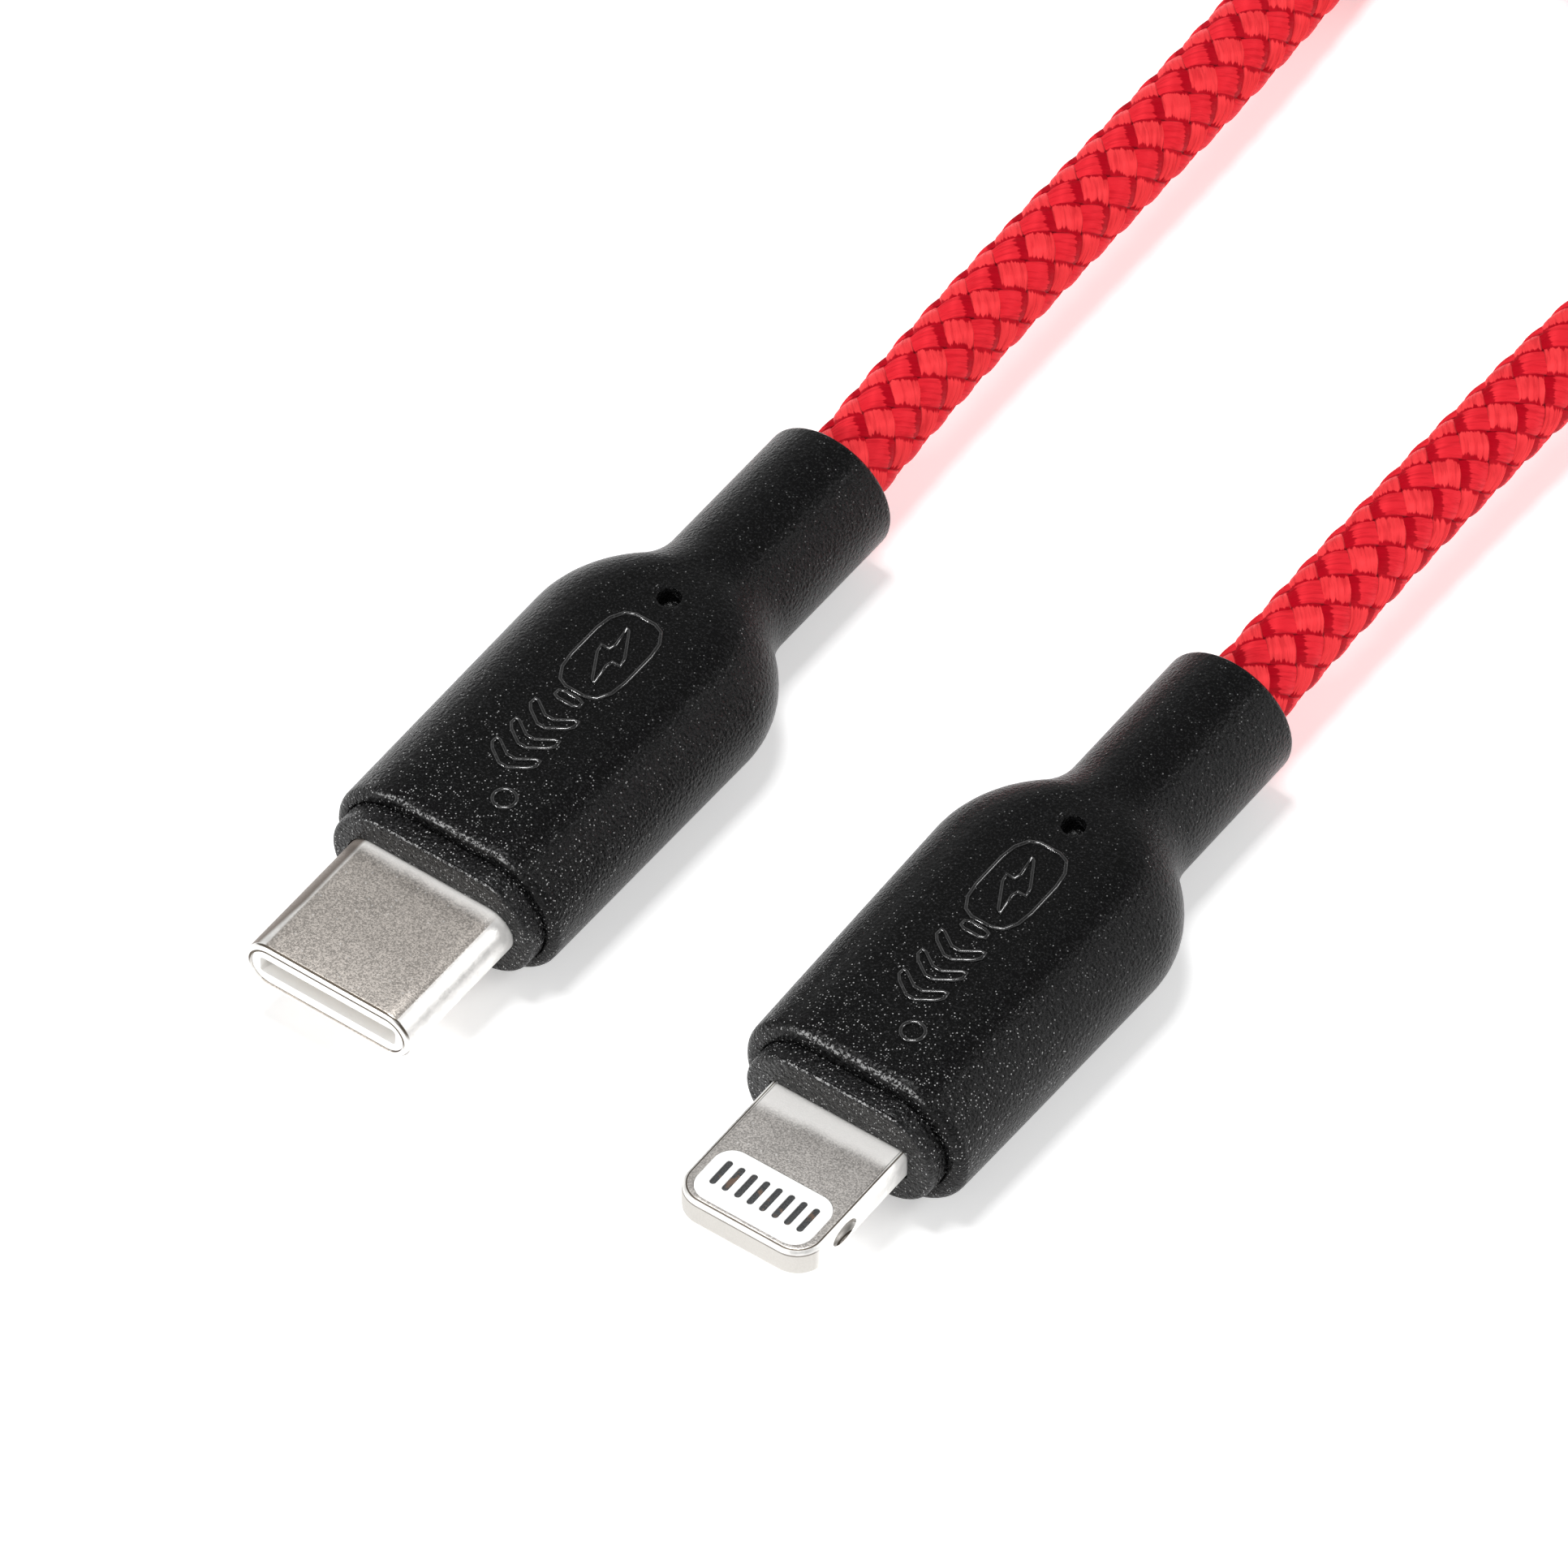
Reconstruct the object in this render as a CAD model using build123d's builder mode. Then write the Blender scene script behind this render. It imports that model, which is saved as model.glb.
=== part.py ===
"""A one-metre charging cable: a USB-C plug at one end, a flat eight-contact plug at the other.

The two plugs lie side by side on a surface, tips towards -Y, with the cord leaving along +Y. X runs from
one plug to the other, +Z is up, and the origin is on the surface under the middle of the two plugs.
Lengths along a plug are counted from the front face of its grip, positive towards the cord.
"""

import os
from collections import namedtuple
from math import cos, pi, radians, sin, tan

from build123d import *

os.makedirs("parts", exist_ok=True)

# Where the two plugs lie
plug_spacing = 20.56
plug_stagger = 0.28
grip_front = -9.31
eight_pin_turn = 0.5

# Grip: a straight body, a smooth shoulder and a round neck
grip_width = 11.16
grip_height = 6.76
body_length = 14.3
shoulder_end = 19.4
neck_end = 26.56
neck_diameter = 6.12
roundness_left = 0.06
front_fillet = 0.5
neck_fillet = 0.3
axis_height = grip_height / 2
pin_hole_diameter = 1.0
pin_hole_depth = 0.8
pin_hole_y = 15.3

# Hard inner mould, whose front stands out of the grip as a collar, each (width, height)
mould_section = (10.0, 5.18)
usb_c_collar = (10.0, 5.18)
eight_pin_collar = (9.2, 4.9)
collar_reach = 0.99
collar_fillet = 0.25
mould_end = 13.0

# Shield can and circuit board inside the mould
can_width = 7.6
can_height = 3.8
can_start = 2.5
can_end = 12.0
can_wall = 0.2
board_thickness = 0.6
board_start = 2.7
board_end = 10.5

# Cord and what it brings into each plug
cord_diameter = 3.7
jacket_diameter = 3.1
jacket_start = 11.5
crimp_diameter = 4.0
crimp_end = 16.0
wire_diameter = 0.66
wire_pitch = 0.7
wire_start = 9.0

# USB-C plug, on the standard's sizes
shell_width = 8.25
shell_height = 2.4
shell_wall = 0.3
shell_reach = 7.98
shell_rim_fillet = 0.22
housing_reach = 7.9
housing_gap = 0.02
housing_end = 1.9
mouth_width = 6.8
mouth_height = 0.84
mouth_end = -1.6
contact_pitch = 0.5
contact_width = 0.25
contact_thickness = 0.12
groove_width = 0.3
groove_top = 0.7
spring_width = 5.4
spring_start = -6.9
spring_end = -3.9
spring_thickness = 0.1
latch_thickness = 0.14
latch_height = 0.5
latch_front = -6.9
latch_root = -1.9
latch_x = 3.51
latch_hook = 0.26
latch_clearance = 0.06

# Flat eight-contact plug
tab_width = 6.7
tab_thickness = 1.5
tab_reach = 7.94
tab_corner = 1.3
tab_edge_fillet = 0.2
window_width = 5.66
window_front = -7.58
window_back = -4.66
window_corner = 0.9
pad_pitch = 0.61
pad_width = 0.29
pad_length = 1.42
pad_y = -6.03
notch_y = -5.22
notch_length = 1.55
notch_depth = 0.38
notch_height = 1.0
inner_board_width = 5.0
inner_board_front = -7.1

# Put-away length of the cord: a tied hank of oval turns, two wide and two high
hank_inner = 3 * cord_diameter
hank_outer = 4 * cord_diameter
hank_near = 75.7
hank_run = 64.0
hank_middle = hank_near + hank_run / 2
hank_far = hank_near + hank_run
hank_height = 2 * cord_diameter
waist_half = 2 * cord_diameter
hole_length = 20.0
hole_point = 0.6
tie_width = 10.0
tie_thickness = 0.9

Plug = namedtuple("Plug", "name x front turn")
usb_c = Plug("usb_c", -plug_spacing / 2, grip_front + plug_stagger / 2, 0)
eight_pin = Plug("eight_pin", plug_spacing / 2, grip_front - plug_stagger / 2, radians(eight_pin_turn))


def save(built, label):
    """Names a finished piece and writes it to its own file."""
    built.part.label = label
    export_step(built.part, f"parts/{label}.step")


def above(plug, z):
    """The level plane at height z over a plug's axis, turned as the plug lies."""
    origin = (plug.x, plug.front, axis_height + z)
    return Plane(origin=origin, x_dir=(cos(plug.turn), sin(plug.turn), 0), z_dir=(0, 0, 1))


def across(plug, y):
    """The plane across a plug's axis at y, facing its tip, so that an extrusion runs towards the tip."""
    level = above(plug, 0)
    return Plane(origin=level.origin + level.y_dir * y, x_dir=level.x_dir, z_dir=-level.y_dir)


def beside(plug):
    """The plane along a plug's axis that shows it from +X: across the page is y, up the page is z."""
    level = above(plug, 0)
    return Plane(origin=level.origin, x_dir=level.y_dir, z_dir=level.x_dir)


def front_edges():
    """The outline of the front face of the part being built."""
    return faces().sort_by(Axis.Y)[0].edges()


# Pieces that both plugs have ---------------------------------------------------------------------


def make_grip(plug):
    """Soft overmould: straight body, S-curved shoulder, round neck, with room inside for what it holds."""
    with BuildPart() as grip:
        with BuildSketch(across(plug, body_length)):
            SlotOverall(grip_width, grip_height)
        extrude(amount=body_length)
        steps = 6
        for i in range(steps + 1):
            share = i / steps
            blend = share * share * (3 - 2 * share)
            wide = grip_width + (neck_diameter + roundness_left - grip_width) * blend
            high = grip_height + (neck_diameter - grip_height) * blend
            with BuildSketch(across(plug, body_length + (shoulder_end - body_length) * share)):
                SlotOverall(wide, high)
        loft()
        with BuildSketch(across(plug, neck_end)):
            SlotOverall(neck_diameter + roundness_left, neck_diameter)
        extrude(amount=neck_end - shoulder_end)
        fillet(front_edges(), front_fillet)
        fillet(faces().sort_by(Axis.Y)[-1].edges(), neck_fillet)
        with BuildSketch(across(plug, mould_end)):
            SlotOverall(*mould_section)
        extrude(amount=mould_end, mode=Mode.SUBTRACT)
        with BuildSketch(across(plug, crimp_end)):
            Circle(crimp_diameter / 2)
        extrude(amount=crimp_end - mould_end, mode=Mode.SUBTRACT)
        with BuildSketch(across(plug, neck_end)):
            Circle(cord_diameter / 2)
        extrude(amount=neck_end - crimp_end, mode=Mode.SUBTRACT)
        with BuildSketch(above(plug, axis_height)):
            with Locations((0, pin_hole_y)):
                Circle(pin_hole_diameter / 2)
        extrude(amount=-pin_hole_depth, mode=Mode.SUBTRACT)
    save(grip, f"{plug.name}_grip")


def make_inner_mould(plug, collar_section, mouth_wide, mouth_high, mouth_radius):
    """Hard mould round the shield can, with the collar that stands out of the grip round the metal tip."""
    with BuildPart() as mould:
        with BuildSketch(across(plug, mould_end)):
            SlotOverall(*mould_section)
        extrude(amount=mould_end)
        with BuildSketch(across(plug, 0)):
            SlotOverall(*collar_section)
        extrude(amount=collar_reach)
        fillet(front_edges(), collar_fillet)
        with BuildSketch(across(plug, can_start)):
            RectangleRounded(mouth_wide, mouth_high, mouth_radius)
        extrude(amount=can_start + collar_reach, mode=Mode.SUBTRACT)
        with BuildSketch(across(plug, can_end)):
            Rectangle(can_width, can_height)
        extrude(amount=can_end - can_start, mode=Mode.SUBTRACT)
        with BuildSketch(across(plug, mould_end)):
            Circle(jacket_diameter / 2)
        extrude(amount=mould_end - can_end, mode=Mode.SUBTRACT)
    save(mould, f"{plug.name}_inner_mould")


def make_shield_can(plug):
    """Pressed metal box round the board, open to the metal tip, with a hole for the cord at the back."""
    with BuildPart() as can:
        with BuildSketch(across(plug, can_end)):
            Rectangle(can_width, can_height)
        extrude(amount=can_end - can_start)
        with BuildSketch(across(plug, can_end - can_wall)):
            Rectangle(can_width - 2 * can_wall, can_height - 2 * can_wall)
        extrude(amount=can_end - can_start, mode=Mode.SUBTRACT)
        with BuildSketch(across(plug, can_end)):
            Circle(jacket_diameter / 2)
        extrude(amount=2 * can_wall, mode=Mode.SUBTRACT)
    save(can, f"{plug.name}_shield_can")


def make_cable_end(plug):
    """What the cord brings into the plug: jacket, braid, crimp ring and four wires."""
    with BuildPart() as jacket:
        with BuildSketch(across(plug, neck_end)):
            Circle(jacket_diameter / 2)
        extrude(amount=neck_end - jacket_start)
    save(jacket, f"{plug.name}_jacket_end")

    with BuildPart() as braid:
        with BuildSketch(across(plug, neck_end)):
            Circle(cord_diameter / 2)
            Circle(jacket_diameter / 2, mode=Mode.SUBTRACT)
        extrude(amount=neck_end - crimp_end)
    save(braid, f"{plug.name}_braid_end")

    with BuildPart() as crimp:
        with BuildSketch(across(plug, crimp_end)):
            Circle(crimp_diameter / 2)
            Circle(jacket_diameter / 2, mode=Mode.SUBTRACT)
        extrude(amount=crimp_end - mould_end)
    save(crimp, f"{plug.name}_crimp_ring")

    wire_height = board_thickness / 2 + wire_diameter / 2
    wires = {"power_wire": [-1.5], "data_wires": [-0.5, 0.5], "ground_wire": [1.5]}
    for label, places in wires.items():
        with BuildPart() as wire:
            with BuildSketch(across(plug, jacket_start)):
                with Locations(*[(place * wire_pitch, wire_height) for place in places]):
                    Circle(wire_diameter / 2)
            extrude(amount=jacket_start - wire_start)
        save(wire, f"{plug.name}_{label}")


def make_chips(plug, chips):
    """The components on a board, as blocks: each is (x, y, width, length, height), under the board if negative."""
    with BuildPart() as components:
        for x, y, wide, long, high in chips:
            side = 1 if high > 0 else -1
            with BuildSketch(above(plug, side * board_thickness / 2)):
                with Locations((x, y)):
                    Rectangle(wide, long)
            extrude(amount=high)
    save(components, f"{plug.name}_board_components")


# USB-C plug --------------------------------------------------------------------------------------


def make_usb_c_shell():
    """Drawn metal shell with full-round sides, open at both ends."""
    with BuildPart() as shell:
        with BuildSketch(across(usb_c, can_start)):
            SlotOverall(shell_width, shell_height)
        extrude(amount=can_start + shell_reach)
        fillet(front_edges(), shell_rim_fillet)
        with BuildSketch(across(usb_c, can_start)):
            SlotOverall(shell_width - 2 * shell_wall, shell_height - 2 * shell_wall)
        extrude(amount=can_start + shell_reach, mode=Mode.SUBTRACT)
    save(shell, "usb_c_shell")


def make_usb_c_housing():
    """Moulded contact housing: the mouth, a groove for each contact, seats for the springs and latches."""
    outer_width = shell_width - 2 * shell_wall - 2 * housing_gap
    outer_height = shell_height - 2 * shell_wall - 2 * housing_gap
    seat_depth = spring_thickness + housing_gap
    pocket_inner = latch_x - latch_thickness / 2 - latch_hook - latch_clearance
    with BuildPart() as housing:
        with BuildSketch(across(usb_c, housing_end)):
            SlotOverall(outer_width, outer_height)
        extrude(amount=housing_end + housing_reach)
        with BuildSketch(across(usb_c, mouth_end)):
            RectangleRounded(mouth_width, mouth_height, 0.2)
        extrude(amount=housing_reach + mouth_end, mode=Mode.SUBTRACT)
        with BuildSketch(across(usb_c, housing_end)):
            with GridLocations(contact_pitch, 0, 12, 1):
                Rectangle(groove_width, 2 * groove_top)
            Rectangle(shell_width, 0.3, mode=Mode.SUBTRACT)
        extrude(amount=housing_end + 7.2, mode=Mode.SUBTRACT)
        for side in (1, -1):
            with BuildSketch(above(usb_c, side * (outer_height / 2 - seat_depth))):
                with Locations((0, (spring_start + spring_end) / 2)):
                    Rectangle(spring_width + 0.1, spring_end - spring_start + 0.1)
            extrude(amount=side * 1, mode=Mode.SUBTRACT)
            with BuildSketch(above(usb_c, -latch_height / 2 - latch_clearance)):
                with Locations((side * (pocket_inner + 0.5), (latch_front + latch_root) / 2)):
                    Rectangle(1, latch_root - latch_front + 2 * latch_clearance)
            extrude(amount=latch_height + 2 * latch_clearance, mode=Mode.SUBTRACT)
    save(housing, "usb_c_contact_housing")


def make_usb_c_contacts(side, label):
    """Twelve sprung contacts, bowed into the mouth in front, with their tails on the board."""
    board_top = (board_thickness + contact_thickness) / 2
    centres = [(-7.0, 0.55), (-6.3, 0.36), (-5.4, 0.5), (-4.2, 0.58), (2.2, 0.58), (2.9, board_top), (4.4, board_top)]
    over = [(y, side * (z + contact_thickness / 2)) for y, z in centres]
    under = [(y, side * (z - contact_thickness / 2)) for y, z in reversed(centres)]
    with BuildPart() as contacts:
        for i in range(12):
            x = (i - 5.5) * contact_pitch
            with BuildSketch(beside(usb_c).offset(x - contact_width / 2)):
                with BuildLine():
                    Polyline(*over, *under, close=True)
                make_face()
            extrude(amount=contact_width)
    save(contacts, label)


def make_usb_c_spring(side, label):
    """Ground spring plate between housing and shell, cut into fingers."""
    outer_half = shell_height / 2 - shell_wall - housing_gap
    long = spring_end - spring_start
    with BuildPart() as spring:
        with BuildSketch(above(usb_c, side * (outer_half - spring_thickness))):
            with Locations((0, (spring_start + spring_end) / 2)):
                Rectangle(spring_width, long)
            with Locations((0, spring_start + 0.4 * long)):
                with GridLocations(0.9, 0, 5, 1):
                    Rectangle(0.2, 0.8 * long, mode=Mode.SUBTRACT)
        extrude(amount=side * spring_thickness)
    save(spring, label)


def make_usb_c_latch(side, label):
    """Sprung side latch: an arm beside the mouth with a hook that holds the socket's tongue."""
    inner = latch_x - latch_thickness / 2
    outer = latch_x + latch_thickness / 2
    with BuildPart() as latch:
        with BuildSketch(above(usb_c, -latch_height / 2)):
            with BuildLine():
                Polyline(
                    (side * outer, latch_front),
                    (side * outer, latch_root),
                    (side * inner, latch_root),
                    (side * inner, latch_front + 1.1),
                    (side * (inner - latch_hook), latch_front + 0.7),
                    (side * (inner - latch_hook), latch_front + 0.45),
                    (side * inner, latch_front),
                    close=True,
                )
            make_face()
        extrude(amount=latch_height)
    save(latch, label)


def make_usb_c_board():
    """The board that joins the contact tails to the wires."""
    with BuildPart() as board:
        with BuildSketch(above(usb_c, -board_thickness / 2)):
            with Locations((0, (board_start + board_end) / 2)):
                Rectangle(can_width - 2 * can_wall - 0.2, board_end - board_start)
        extrude(amount=board_thickness)
    save(board, "usb_c_circuit_board")


# Flat eight-contact plug -------------------------------------------------------------------------


def make_tab_frame():
    """Metal tab with round front corners, a window for the contacts, a slot for the board, side notches."""
    with BuildPart() as frame:
        with BuildSketch(above(eight_pin, -tab_thickness / 2)):
            with Locations((0, (can_start - tab_reach) / 2)):
                Rectangle(tab_width, can_start + tab_reach)
            fillet(vertices().group_by(Axis.Y)[0], tab_corner)
        extrude(amount=tab_thickness)
        fillet(faces().filter_by(Axis.Z).edges(), tab_edge_fillet)
        with BuildSketch(above(eight_pin, -tab_thickness / 2)):
            with Locations((0, (window_front + window_back) / 2)):
                RectangleRounded(window_width, window_back - window_front, window_corner)
        extrude(amount=tab_thickness, mode=Mode.SUBTRACT)
        with BuildSketch(across(eight_pin, can_start)):
            Rectangle(inner_board_width, board_thickness)
        extrude(amount=can_start - (window_front + window_back) / 2, mode=Mode.SUBTRACT)
        notch_radius = (notch_length**2 / 4 + notch_depth**2) / (2 * notch_depth)
        with BuildSketch(above(eight_pin, -notch_height / 2)):
            for side in (1, -1):
                with Locations((side * (tab_width / 2 + notch_radius - notch_depth), notch_y)):
                    Circle(notch_radius)
        extrude(amount=notch_height, mode=Mode.SUBTRACT)
    save(frame, "eight_pin_tab_frame")


def make_tab_insert():
    """Moulded insert that fills the window on both faces, with a slot for each contact and the board."""
    with BuildPart() as insert:
        with BuildSketch(above(eight_pin, -tab_thickness / 2)):
            with Locations((0, (window_front + window_back) / 2)):
                RectangleRounded(window_width, window_back - window_front, window_corner)
        extrude(amount=tab_thickness)
        with BuildSketch(above(eight_pin, -board_thickness / 2)):
            with Locations((0, (inner_board_front + window_back) / 2)):
                Rectangle(inner_board_width, window_back - inner_board_front)
        extrude(amount=board_thickness, mode=Mode.SUBTRACT)
        with BuildSketch(above(eight_pin, -tab_thickness / 2)):
            with Locations((0, pad_y)):
                with GridLocations(pad_pitch, 0, 8, 1):
                    SlotOverall(pad_length, pad_width, rotation=90)
        extrude(amount=tab_thickness, mode=Mode.SUBTRACT)
    save(insert, "eight_pin_contact_insert")


def make_tab_contacts(side, label):
    """Eight plated contacts that stand on the board and end flush with the face of the tab."""
    with BuildPart() as contacts:
        with BuildSketch(above(eight_pin, side * board_thickness / 2)):
            with Locations((0, pad_y)):
                with GridLocations(pad_pitch, 0, 8, 1):
                    SlotOverall(pad_length, pad_width, rotation=90)
        extrude(amount=side * (tab_thickness - board_thickness) / 2)
    save(contacts, label)


def make_tab_board():
    """The board that runs from the contacts, through the tab, to the wires."""
    with BuildPart() as board:
        with BuildSketch(above(eight_pin, -board_thickness / 2)):
            with Locations((0, (inner_board_front + board_end) / 2)):
                Rectangle(inner_board_width, board_end - inner_board_front)
            with Locations((0, (board_start + board_end) / 2)):
                Rectangle(can_width - 2 * can_wall - 0.2, board_end - board_start)
        extrude(amount=board_thickness)
    save(board, "eight_pin_circuit_board")


# Cord --------------------------------------------------------------------------------------------

# Both leads leave their necks level, stay straight past the plugs, then bear out to the hank's outer turns.
usb_c_route = [
    across(usb_c, neck_end).origin,
    (-10.72, 23.5, 3.5),
    (-10.9, 35.5, 3.45),
    (-11.1, 47.5, 3.0),
    (-12.2, 58.5, 2.1),
    (-14.2, 67.5, 1.86),
    (-hank_outer, hank_near, cord_diameter / 2),
]
eight_pin_route = [
    across(eight_pin, neck_end).origin,
    (9.86, 23.2, 3.45),
    (9.84, 35.0, 3.35),
    (10.3, 47.0, 3.2),
    (12.2, 58.5, 4.0),
    (14.3, 67.5, 5.3),
    (hank_outer, hank_near, 1.5 * cord_diameter),
]


def bend_radii(points):
    """The largest radius for each corner of a route: 0.45 of its shorter run over the tangent of half the turn."""
    places = [Vector(point) for point in points]
    runs = [b - a for a, b in zip(places, places[1:])]
    return [
        0.45 * min(a.length, b.length) / tan(radians(a.get_angle(b)) / 2)
        for a, b in zip(runs, runs[1:])
    ]


def make_lead(points, label):
    """The cord from a plug's neck to the hank, as straight runs and tangent arcs."""
    radii = bend_radii(points)
    with BuildPart() as lead:
        with BuildLine() as route:
            FilletPolyline(*points, radius=radii)
        with BuildSketch(Plane(origin=route.line @ 0, z_dir=route.line % 0)):
            Circle(cord_diameter / 2)
        sweep()
    length = sum(edge.length for edge in route.edges())
    expected = pi * cord_diameter**2 / 4 * length
    print(label, "radii", [round(radius, 1) for radius in radii], "length", round(length, 1))
    print(label, "volume over section times length", round(lead.part.volume / expected, 4))
    save(lead, label)


def make_hank():
    """The outer shape of the tied turns: two round ends drawn in to a narrow waist, a hole through each end."""
    end_radius = hank_outer + cord_diameter / 2
    hole_radius = hank_inner - cord_diameter / 2
    pull = hank_run / 4
    with BuildSketch() as near_hole:
        with Locations((0, hank_near)):
            Circle(hole_radius)
        with Locations((0, hank_near + hole_length)):
            Circle(hole_point)
        make_hull()
    with BuildPart() as hank:
        with BuildSketch():
            for y in (hank_near, hank_far):
                with Locations((0, y)):
                    Circle(end_radius)
            with BuildLine():
                for side in (1, -1):
                    for end, towards in ((hank_near, 1), (hank_far, -1)):
                        Bezier(
                            (side * end_radius, end),
                            (side * end_radius, end + towards * pull),
                            (side * waist_half, hank_middle - towards * pull),
                            (side * waist_half, hank_middle),
                        )
                Line((-end_radius, hank_near), (end_radius, hank_near))
                Line((-end_radius, hank_far), (end_radius, hank_far))
            make_face()
        extrude(amount=hank_height)
        with BuildSketch():
            with Locations((0, hank_middle)):
                Rectangle(4 * waist_half, tie_width + 2)
        extrude(amount=tie_thickness, mode=Mode.SUBTRACT)
        with BuildSketch(Plane.XY.offset(hank_height / 2)):
            with Locations((0, hank_middle)):
                Rectangle(2 * waist_half, tie_width + 2)
        extrude(amount=hank_height / 2 + tie_thickness)
        extrude(near_hole.sketch, amount=hank_height, mode=Mode.SUBTRACT)
        far_hole = near_hole.sketch.mirror(Plane.XZ.offset(-hank_middle))
        extrude(far_hole, amount=hank_height, mode=Mode.SUBTRACT)
    save(hank, "cord_hank")


def make_tie():
    """Hook-and-loop strap round the waist of the hank."""
    waist_height = hank_height + 2 * tie_thickness
    plane = Plane(origin=(0, hank_middle + tie_width / 2, waist_height / 2), x_dir=(1, 0, 0), z_dir=(0, -1, 0))
    with BuildPart() as tie:
        with BuildSketch(plane):
            RectangleRounded(2 * (waist_half + tie_thickness), waist_height, 1.5 + tie_thickness)
            RectangleRounded(2 * waist_half, hank_height, 1.5, mode=Mode.SUBTRACT)
        extrude(amount=tie_width)
    save(tie, "hank_tie")


for plug in (usb_c, eight_pin):
    make_grip(plug)
    make_shield_can(plug)
    make_cable_end(plug)

make_inner_mould(usb_c, usb_c_collar, shell_width, shell_height, shell_height / 2 - 0.001)
make_usb_c_shell()
make_usb_c_housing()
make_usb_c_contacts(1, "usb_c_contacts_upper")
make_usb_c_contacts(-1, "usb_c_contacts_lower")
make_usb_c_spring(1, "usb_c_ground_spring_upper")
make_usb_c_spring(-1, "usb_c_ground_spring_lower")
make_usb_c_latch(1, "usb_c_latch_right")
make_usb_c_latch(-1, "usb_c_latch_left")
make_usb_c_board()
make_chips(usb_c, [(-1.6, 6.6, 2.0, 2.0, 0.6), (1.9, 5.8, 0.5, 1.0, 0.35), (1.9, 7.4, 0.5, 1.0, 0.35)])

make_inner_mould(eight_pin, eight_pin_collar, tab_width, tab_thickness, tab_edge_fillet)
make_tab_frame()
make_tab_insert()
make_tab_contacts(1, "eight_pin_contacts_upper")
make_tab_contacts(-1, "eight_pin_contacts_lower")
make_tab_board()
make_chips(eight_pin, [(-1.4, 5.6, 2.4, 2.4, 0.7), (1.7, 5.0, 1.4, 1.8, 0.5), (0, 5.8, 2.2, 2.6, -0.6)])

make_lead(usb_c_route, "cord_usb_c_lead")
make_lead(eight_pin_route, "cord_eight_pin_lead")
make_hank()
make_tie()
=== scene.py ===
"""Looks for the charging cable: a USB-C plug and a flat eight-contact plug on one braided cord.

Shapes are built in millimetres in each plug's own frame: x across, y from the grip's front face towards
the cord, z up from the plug's axis. They are placed in the row frame, in metres.
"""

from math import cos, pi, radians, sin, sqrt

import bmesh
import bpy
import numpy as np
from mathutils import Matrix, Vector


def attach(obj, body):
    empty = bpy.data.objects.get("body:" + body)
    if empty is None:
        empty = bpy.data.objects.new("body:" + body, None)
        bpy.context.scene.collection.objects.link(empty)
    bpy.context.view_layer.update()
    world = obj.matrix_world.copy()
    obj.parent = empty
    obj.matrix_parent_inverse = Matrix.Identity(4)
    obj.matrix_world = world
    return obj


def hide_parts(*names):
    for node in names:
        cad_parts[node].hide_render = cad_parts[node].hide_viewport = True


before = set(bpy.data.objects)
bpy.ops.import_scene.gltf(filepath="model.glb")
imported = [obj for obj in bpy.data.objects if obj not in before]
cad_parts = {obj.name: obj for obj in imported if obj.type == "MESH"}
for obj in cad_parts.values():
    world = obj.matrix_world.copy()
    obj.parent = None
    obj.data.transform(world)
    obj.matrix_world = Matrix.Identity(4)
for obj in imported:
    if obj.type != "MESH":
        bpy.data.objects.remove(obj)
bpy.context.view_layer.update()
scene = bpy.context.scene

MM = 0.001
# The height of both plugs' axes above the floor, which is also half the grips' height
AXIS = 3.38
# How far the flat plug's side notches and its contacts lie from its grip's front face
NOTCH_Y = -5.22
CONTACTS_Y = -6.03

# Camera ------------------------------------------------------------------------------------------

# A long lens, fitted to the outlines of both metal tips
camera = bpy.data.objects.new("camera", bpy.data.cameras.new("camera"))
scene.collection.objects.link(camera)
camera.location = (0.36786973, -0.50340451, 0.72339606)
camera.rotation_euler = (radians(90 - 48.935), 0, radians(36.160))
camera.data.sensor_width = 36
camera.data.lens = 540.98
camera.data.clip_start = 0.05
camera.data.clip_end = 10
scene.camera = camera
scene.view_settings.view_transform = "Standard"


# Nodes -------------------------------------------------------------------------------------------


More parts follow.
